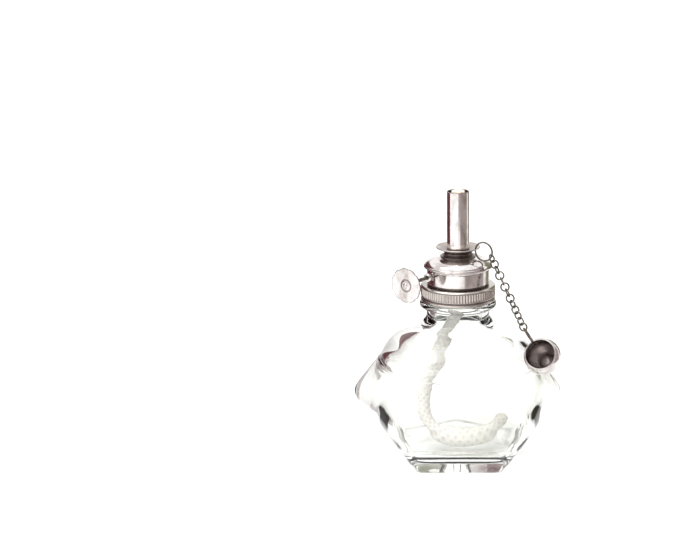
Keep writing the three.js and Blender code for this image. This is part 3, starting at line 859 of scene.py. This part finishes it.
class LAMP_OT_collar(bpy.types.Operator):
    """Makes the fluted screw collar, with its bead, groove and rolled thread, and the cork ring"""

    bl_idname = "lamp.collar"
    bl_label = "Screw collar"

    def execute(self, context):
        s = context.scene.lamp_burner
        z0, z1, r = low("screw_collar"), high("screw_collar"), reach("screw_collar")
        inner, hole = 15.1 * MM, 12 * MM
        shape = outline([
            (inner, z0), (r - 0.4 * MM, z0), (r - 0.05 * MM, z0 + 0.35 * MM), (r - 0.05 * MM, z0 + 0.95 * MM),
            (r - 0.65 * MM, z0 + 1.4 * MM), (r - 0.6 * MM, z0 + 1.8 * MM), (r - 0.05 * MM, z0 + 2.15 * MM),
            (r - 0.05 * MM, z1 - 0.6 * MM), (r - 0.75 * MM, z1), (hole, z1), (hole, z1 - 0.6 * MM),
            (inner, z1 - 0.6 * MM),
        ], 0.22 * MM)
        shape = filled(shape, 0.28 * MM)
        around = angles(POINTS_PER_FLUTE * s.flutes)
        radius, z = shape[:, 0][None, :], shape[:, 1][None, :]
        wave = 0.5 - 0.5 * np.cos(s.flutes * around)[:, None]
        band = step_up(z, z0 + 2.3 * MM, z0 + 2.75 * MM) * step_up(-z, -(z1 - 0.75 * MM), -(z1 - 1.15 * MM))
        outer = radius > r - 0.3 * MM
        rolled = (radius < inner + 0.1 * MM) & (z > z0 + 0.4 * MM) & (z < z1 - 1.0 * MM)
        turns = 0.5 - 0.5 * np.cos(TURN * z / THREAD_PITCH - around[:, None])
        radius = radius - s.flute_depth * wave * band * outer - 0.5 * MM * turns * rolled
        points = revolve(radius, z, around)
        # Painted shade: the collar darkens at its groove, at its foot and under its top.
        grime = ((z0 + 1.55 * MM, 0.5 * MM), (z0 - 0.1 * MM, 0.5 * MM), (z1 - 1.0 * MM, 0.35 * MM))
        piece("collar", points, (True, True), dull_nickel("collar_nickel", grime_at=grime), "burner",
              "screw_collar")
        w0, w1 = low("seal_washer"), high("seal_washer")
        ring = outline([(BORE_RADIUS, w0), (reach("seal_washer"), w0), (reach("seal_washer"), w1),
                        (BORE_RADIUS, w1)], 0.15 * MM)
        piece("cork_ring", turned(ring, 120), (True, True), pressed_cork(), "washer", "seal_washer")
        return {"FINISHED"}


class LAMP_OT_drum(bpy.types.Operator):
    """Makes the plain drum, its ferrule and the domed lid with a rolled rim and a vent"""

    bl_idname = "lamp.drum"
    bl_label = "Drum and lid"

    def execute(self, context):
        self.drum()
        self.ferrule()
        self.lid()
        return {"FINISHED"}

    def drum(self):
        z0, z1, r = low("burner_drum"), high("burner_drum"), reach("burner_drum")
        wall = 0.5 * MM
        shape = outline([
            (r - wall, z0), (r - 0.35 * MM, z0), (r, z0 + 0.35 * MM), (r, z1 - 0.9 * MM),
            (r - 0.12 * MM, z1 - 0.7 * MM), (r, z1 - 0.45 * MM), (r, z1), (r - wall, z1),
        ], 0.18 * MM)
        # Painted shade: the drum darkens at its lower and upper edges.
        grime = ((z0 - 0.1 * MM, 0.8 * MM), (z1 + 0.05 * MM, 0.6 * MM))
        material = bright_nickel("drum_nickel", grime_at=grime)
        piece("drum", turned(shape, 200), (True, True), material, "burner", "burner_drum")

    def ferrule(self):
        z0, z1, wide = low("burner_base"), high("burner_base"), reach("burner_base")
        neck, hole, sheet = 11.8 * MM, 3.8 * MM, 0.5 * MM
        shape = outline([
            (wide, z0), (wide, z0 + sheet), (neck, z0 + sheet), (neck, z1 - sheet),
            (wide, z1 - sheet), (wide, z1), (hole, z1), (hole, z1 - sheet),
            (neck - sheet, z1 - sheet), (neck - sheet, z0),
        ], 0.12 * MM)
        # Painted shade: the ferrule darkens round its neck, the gap under the drum.
        grime = (((z0 + z1) / 2, 2.4 * MM),)
        piece("ferrule", turned(shape, 120), (True, True), dull_nickel("ferrule_nickel", grime_at=grime),
              "burner", "burner_base")

    def lid(self):
        """The dome is turned; near the vent each point sinks by a round dimple, depth e^-(d/w)^2."""
        z0, z1, rim = low("dome_lid"), high("dome_lid"), reach("dome_lid")
        across, rise, sheet = 10.55 * MM, z1 - z0 - 0.65 * MM, 0.45 * MM
        top = arc((4 * MM, z0 + 0.65 * MM), (across, rise), 10, 84, 26)
        under = arc((4 * MM, z0 + 0.6 * MM), (across - sheet, rise - sheet), 84, 10, 26)
        lip = arc((rim - 0.42 * MM, z0 + 0.42 * MM), (0.42 * MM, 0.4 * MM), -100, 75, 12)
        shape = np.vstack([[12.6 * MM, z0 + 0.05 * MM], [14.3 * MM, z0 + 0.02 * MM], lip, top, under])
        points = turned(shape, 240)
        vent = np.array([5.6, -9.8]) * MM
        away = np.hypot(points[..., 0] - vent[0], points[..., 1] - vent[1])
        points[..., 2] -= 0.35 * MM * np.exp(-(away / (0.45 * MM)) ** 2) * (points[..., 2] > z0 + MM)
        # Painted shade: the lid darkens at the crease above its rim, at its lower edge and at its top.
        grime = ((z0 + 0.86 * MM, 0.3 * MM), (z0 - 0.05 * MM, 0.35 * MM), (z1 + 0.05 * MM, 0.3 * MM))
        piece("lid", points, (True, True), bright_nickel("lid_nickel", grime_at=grime), "burner", "dome_lid")


class LAMP_OT_tube(bpy.types.Operator):
    """Makes the flared saucer, the tall wick tube with a rolled lip, and coats the inner guide"""

    bl_idname = "lamp.tube"
    bl_label = "Saucer and tube"

    def execute(self, context):
        self.saucer()
        self.tube()
        coat("wick_guide", dull_nickel("guide_nickel"))
        return {"FINISHED"}

    def saucer(self):
        z0, z1, rim = low("saucer"), high("saucer"), reach("saucer")
        bore = 4.98 * MM
        outside = smooth_line([
            (7.8 * MM, z0), (6.4 * MM, z0 + 0.75 * MM), (6.0 * MM, z0 + 1.5 * MM), (7.1 * MM, z0 + 2.45 * MM),
            (rim - 0.35 * MM, z1 - 0.55 * MM),
        ], 30)
        lip = arc((rim - 0.3 * MM, z1 - 0.3 * MM), (0.28 * MM, 0.28 * MM), -60, 130, 10)
        inside = smooth_line([
            (rim - 0.6 * MM, z1 - 0.25 * MM), (7.4 * MM, z0 + 3.1 * MM), (6.1 * MM, z0 + 2.65 * MM),
            (bore, z0 + 2.4 * MM),
        ], 20)
        shape = np.vstack([[(bore, z0)], outside, lip, inside])
        # Painted shade: the saucer's foot darkens, as the shadow under its rim.
        grime = ((z0 + 1.1 * MM, 2.3 * MM),)
        material = dull_nickel("saucer_nickel", grime_at=grime, grain=(60, 60, 240))
        piece("drip_saucer", turned(shape, 200), (True, True), material, "burner", "saucer")

    def tube(self):
        """A straight wall whose lip is rolled inwards, with a fine seam: a groove e^-(a/w)^2 deep at
        one azimuth."""
        z0, z1, r = low("wick_tube"), high("wick_tube"), reach("wick_tube")
        wall = 0.5 * MM
        lip = arc((r - wall / 2, z1 - 0.27 * MM), (0.27 * MM, 0.27 * MM), 0, 180, 12)
        shape = np.vstack([[(r - wall, z0), (r, z0), (r, z0 + 0.2 * MM), (r, z1 - 0.75 * MM),
                            (r + 0.02 * MM, z1 - 0.5 * MM)], lip, [(r - wall, z1 - 0.75 * MM)]])
        around = angles(160)
        seam = 1 - 0.012 * np.exp(-((around - math.radians(118)) / 0.03) ** 2)[:, None]
        points = revolve(shape[:, 0] * seam, shape[:, 1], around)
        # Painted shade: the tube darkens low down and at its lip.
        grime = ((z0 + 4.4 * MM, 0.9 * MM), (z1 + 0.1 * MM, 0.5 * MM))
        material = bright_nickel("tube_nickel", grime_at=grime, grain=(900, 900, 25))
        piece("burner_tube", points, (True, True), material, "burner", "wick_tube")


# ---- spindle --------------------------------------------------------------------------


def along_spindle():
    """The spindle's own frame: +X out along it towards the knob, +Z up."""
    joint = JOINTS["spindle_turn"]
    return basis(joint["axis"], (0, 0, 1), joint["pos_m"])


def about_x(x, radius, angle, place):
    """Points round the local X axis: (x, r cos a, r sin a), with a the first way of the grid."""
    a = angle[:, None]
    x, r = np.broadcast_arrays(x, radius, np.zeros((len(angle), 1)))[:2]
    return moved(np.stack([x, r * np.cos(a), r * np.sin(a)], axis=-1), place)


def facing(points):
    """The grid the other way round its first index, so that its faces turn over."""
    return points[::-1]


KNOB_AT = 29.4 * MM
KNOB_RADIUS = 7.7 * MM
# Painted shade: a dark band on the knob's rim and a dark ring in the well round the hub, as shares of the
# profile.
KNOB_SHADE_BANDS = ((0.452, 0.54, 0.95), (0.135, 0.175, 0.75))
POINTS_PER_SCALLOP = 32


class LAMP_OT_spindle(bpy.types.Operator):
    """Makes the twisted spindle and its bush, and coats the two feed wheels in the drum"""

    bl_idname = "lamp.spindle"
    bl_label = "Spindle"

    def execute(self, context):
        s = context.scene.lamp_spindle
        place = along_spindle()
        a = angles(40)
        x = np.linspace(-12.9 * MM, 30.2 * MM, 420)
        ends = np.sqrt(np.clip(np.minimum(x - x[0], x[-1] - x) / (0.3 * MM), 0, 1))
        plain = step_up(x, 26.5 * MM, 27.5 * MM) + step_up(-x, -13.5 * MM, -12.5 * MM)
        groove = 0.5 - 0.5 * np.cos(2 * a[:, None] - TURN * 2 * x[None, :] / s.twist)
        radius = 0.9 * MM * ends * (1 - 0.26 * groove * (1 - np.clip(plain, 0, 1)))
        piece("twisted_shaft", about_x(x, radius, a, place), (True, False), steel_wire(), "spindle",
              "spindle")
        shape = outline([
            (10.2, 0.96), (10.2, 1.4), (12.95, 1.4), (12.95, 1.9), (13.6, 1.9), (13.6, 1.4),
            (13.9, 1.25), (13.9, 0.96),
        ], 0.14) * MM
        bush = facing(about_x(shape[:, 0], shape[:, 1], angles(64), place))
        piece("bush", bush, (True, True), bright_nickel(), "burner", "spindle_bush")
        for node in ("feed_wheel_1", "feed_wheel_2"):
            coat(node, feed_brass())
        return {"FINISHED"}


class LAMP_OT_knob(bpy.types.Operator):
    """Makes the pressed knob with its scalloped edge, radial ribs, hub and rivet"""

    bl_idname = "lamp.knob"
    bl_label = "Knob"

    def execute(self, context):
        s = context.scene.lamp_spindle
        a = angles(POINTS_PER_SCALLOP * s.scallops)
        edge = (KNOB_RADIUS - 0.45 * MM * (1 - np.abs(np.cos(a * s.scallops / 2)) ** 0.7)) / KNOB_RADIUS
        radius = np.linspace(0, 1, 60) * (KNOB_RADIUS - 0.2 * MM)
        bend = np.radians(np.linspace(80, -80, 9))
        rim_r = KNOB_RADIUS - 0.25 * MM + 0.25 * MM * np.cos(bend)
        rim_x = KNOB_AT - 0.25 * MM + 0.25 * MM * np.sin(bend)
        r = np.concatenate([radius, rim_r, radius[::-1]])
        front = np.concatenate([np.ones(60), np.linspace(1, 0, 9), np.zeros(60)])
        x = np.concatenate([np.full(60, KNOB_AT), rim_x, np.full(60, KNOB_AT - 0.5 * MM)])
        pressed = 0.06 * MM * np.cos(s.scallops * a)[:, None] * step_up(r, 2.6 * MM, 7.2 * MM)
        ribbed = step_up(r, 3.2 * MM, 4.2 * MM) * step_up(-r, -7.2 * MM, -6.4 * MM)
        fine = 0.02 * MM * np.cos(4 * s.scallops * a)[:, None] * ribbed
        well = 0.12 * MM * np.exp(-((r - 2.7 * MM) / (0.35 * MM)) ** 2)
        hub = 0.3 * MM * step_up(-r, -2.3 * MM, -1.7 * MM) * front - well
        rivet = 0.62 * MM * np.sqrt(np.clip(1 - (r / (1.05 * MM)) ** 2, 0, 1)) * front
        x = x[None, :] + pressed + fine + hub + rivet
        scalloped = 1 + (edge[:, None] - 1) * step_up(r, 2.5 * MM, 7.3 * MM)
        points = about_x(x, r[None, :] * scalloped, a, along_spindle())
        # The knob's rim and hub well carry painted shade.
        material = bright_nickel("knob_nickel", bands=KNOB_SHADE_BANDS)
        piece("scalloped_knob", facing(points), (True, False), material, "spindle", "knob")
        return {"FINISHED"}


# ---- chain and cap --------------------------------------------------------------------


def ring_frame(node):
    """A wire ring's own frame, from its mesh: +Z is the way in which its points spread least."""
    data = frame["nodes"][node].data
    co = np.empty(len(data.vertices) * 3)
    data.vertices.foreach_get("co", co)
    co = co.reshape(-1, 3)
    middle = (co.min(axis=0) + co.max(axis=0)) / 2
    spread = np.linalg.eigh((co - middle).T @ (co - middle))[1]
    place = basis(Vector(spread[:, 2]), Vector(spread[:, 0]), middle)
    return place, np.linalg.norm(co - middle, axis=1).max()


def wire_ring(radius, wire, place, joint_at, around=72, section=14):
    """A ring of wire: radius R + w cos b out and w sin b up, where the wire is pinched to
    w (1 - 0.45 e^-(a/0.05)^2) at the place where its two ends meet."""
    a, b = angles(around)[:, None], angles(section)[None, :]
    off = (a - joint_at + math.pi) % TURN - math.pi
    w = wire * (1 - 0.45 * np.exp(-(off / 0.05) ** 2))
    r = radius + w * np.cos(b)
    points = np.stack([r * np.cos(a), r * np.sin(a), w * np.sin(b) * np.ones_like(a)], axis=-1)
    return moved(points, place)


CAD_LINK_WIRE = 0.23 * MM


class LAMP_OT_chain(bpy.types.Operator):
    """Makes the ring in the saucer, the chain's links and the ring that holds the cap"""

    bl_idname = "lamp.chain"
    bl_label = "Chain"

    def execute(self, context):
        s = context.scene.lamp_chain
        links = sorted(node for node in frame["nodes"] if node.startswith("chain_link_"))
        if not links:
            raise RuntimeError("the frame has no chain links")
        for i, node in enumerate(links):
            place, widest = ring_frame(node)
            hole = widest - 2 * CAD_LINK_WIRE - 0.04 * MM
            points = wire_ring(hole + s.wire, s.wire, place, 1.9 + 2.4 * (i % 3), 60, 12)
            piece(node.replace("chain_", ""), points, (True, True), steel_wire(), node, node)
        for node in ("anchor_ring", "cap_ring"):
            place, widest = ring_frame(node)
            points = wire_ring(widest - s.ring_wire, s.ring_wire, place, 2.6)
            piece(node.replace("ring", "wire"), points, (True, True), steel_wire(), node, node)
        return {"FINISHED"}


CHAIN_AZIMUTH = math.radians(58.5 - 90)
MOUTH_AIM, CHAIN_AIM = (-79.4, 30.7), (-20.5, -41.1)


def aimed(swing, rise):
    """A direction from a swing about +Z and a rise, in degrees, in the chain's outward frame."""
    s, e = math.radians(swing) + CHAIN_AZIMUTH, math.radians(rise)
    return Vector((math.cos(e) * math.cos(s), math.cos(e) * math.sin(s), math.sin(e)))


class LAMP_OT_cap(bpy.types.Operator):
    """Makes the snuffer cap: a bulged bowl with a rolled mouth, closed by a nipple"""

    bl_idname = "lamp.cap"
    bl_label = "Snuffer cap"

    def execute(self, context):
        s = context.scene.lamp_chain
        mouth = aimed(*MOUTH_AIM)
        to_cap = aimed(*CHAIN_AIM)
        to_cap = (to_cap - mouth * mouth.dot(to_cap)).normalized()
        ring = Vector(JOINTS["snuffer_cap_swing"]["pos_m"])
        swing = math.radians(60)
        at = ring + to_cap * (4 * math.cos(swing) + 7.75) * MM + mouth * (4 - 4 * math.sin(swing)) * MM
        place = basis(-to_cap, mouth, at)
        bowl = [
            (3.95, -11.35), (5.2, -10.35), (6.7, -8.6), (7.7, -6.2), (8.0, -3.8), (7.6, -1.7), (6.75, -0.45),
        ]
        nipple = arc((0, -14.1), (3.9, 2.9), -90, -8, 14)
        waist = smooth_line([(3.88, -14.0), (3.8, -12.6), (3.78, -11.9), (3.95, -11.35)], 10)[1:-1]
        outside = np.vstack([nipple, waist, smooth_line(bowl, 40)])
        lip = arc((6.55, -0.28), (0.3, 0.3), -20, 175, 12)
        thin = s.wall / MM
        inner = smooth_line([(r - thin, z + 0.1) for r, z in bowl[::-1]][1:], 34)
        socket = arc((0, -13.9), (3.35, 2.4), -8, -90, 14)
        shape = np.vstack([outside, lip, inner, socket]) * MM
        points = revolve(shape[:, 0], shape[:, 1], angles(200), place)
        # Painted shade: the inside of the cap, from the lip down, darkens to the grime colour.
        material = bright_nickel("cap_nickel", grain=(300, 300, 300), bands=((0.55, 1.2, 0.62),))
        piece("snuffer_bowl", points, (True, False), material, "snuffer_cap", "snuffer_cap")
        return {"FINISHED"}


# ---- add-on ---------------------------------------------------------------------------


OPERATORS = (
    LAMP_OT_stage, LAMP_OT_wick, LAMP_OT_glass, LAMP_OT_collar, LAMP_OT_drum, LAMP_OT_tube, LAMP_OT_spindle,
    LAMP_OT_knob, LAMP_OT_chain, LAMP_OT_cap,
)
SETTINGS = {
    "lamp_stage": LampStageSettings, "lamp_glass": LampGlassSettings, "lamp_burner": LampBurnerSettings,
    "lamp_spindle": LampSpindleSettings, "lamp_wick": LampWickSettings, "lamp_chain": LampChainSettings,
}


class LAMP_PT_panel(bpy.types.Panel):
    """Lists the lamp's pieces"""

    bl_label = "Spirit Lamp"
    bl_space_type = "VIEW_3D"
    bl_region_type = "UI"
    bl_category = "Spirit Lamp"

    def draw(self, context):
        for name, group in SETTINGS.items():
            box = self.layout.box()
            for key in group.__annotations__:
                box.prop(getattr(context.scene, name), key)
        for operator in OPERATORS:
            self.layout.operator(operator.bl_idname)


def register():
    for cls in (*SETTINGS.values(), *OPERATORS, LAMP_PT_panel):
        bpy.utils.register_class(cls)
    for name, group in SETTINGS.items():
        setattr(bpy.types.Scene, name, PointerProperty(type=group))


def unregister():
    for name in SETTINGS:
        delattr(bpy.types.Scene, name)
    for cls in reversed((*SETTINGS.values(), *OPERATORS, LAMP_PT_panel)):
        bpy.utils.unregister_class(cls)


def main():
    """Builds the lamp, piece by piece, and finds how large it came out beside the frame."""
    register()
    for operator in OPERATORS:
        group, name = operator.bl_idname.split(".")
        getattr(getattr(bpy.ops, group), name)()
    boxes = {"cad": CAD_BOX, "visual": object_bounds()}
    {name: [list(corner) for corner in box] for name, box in boxes.items()}


if __name__ == "__main__":
    main()
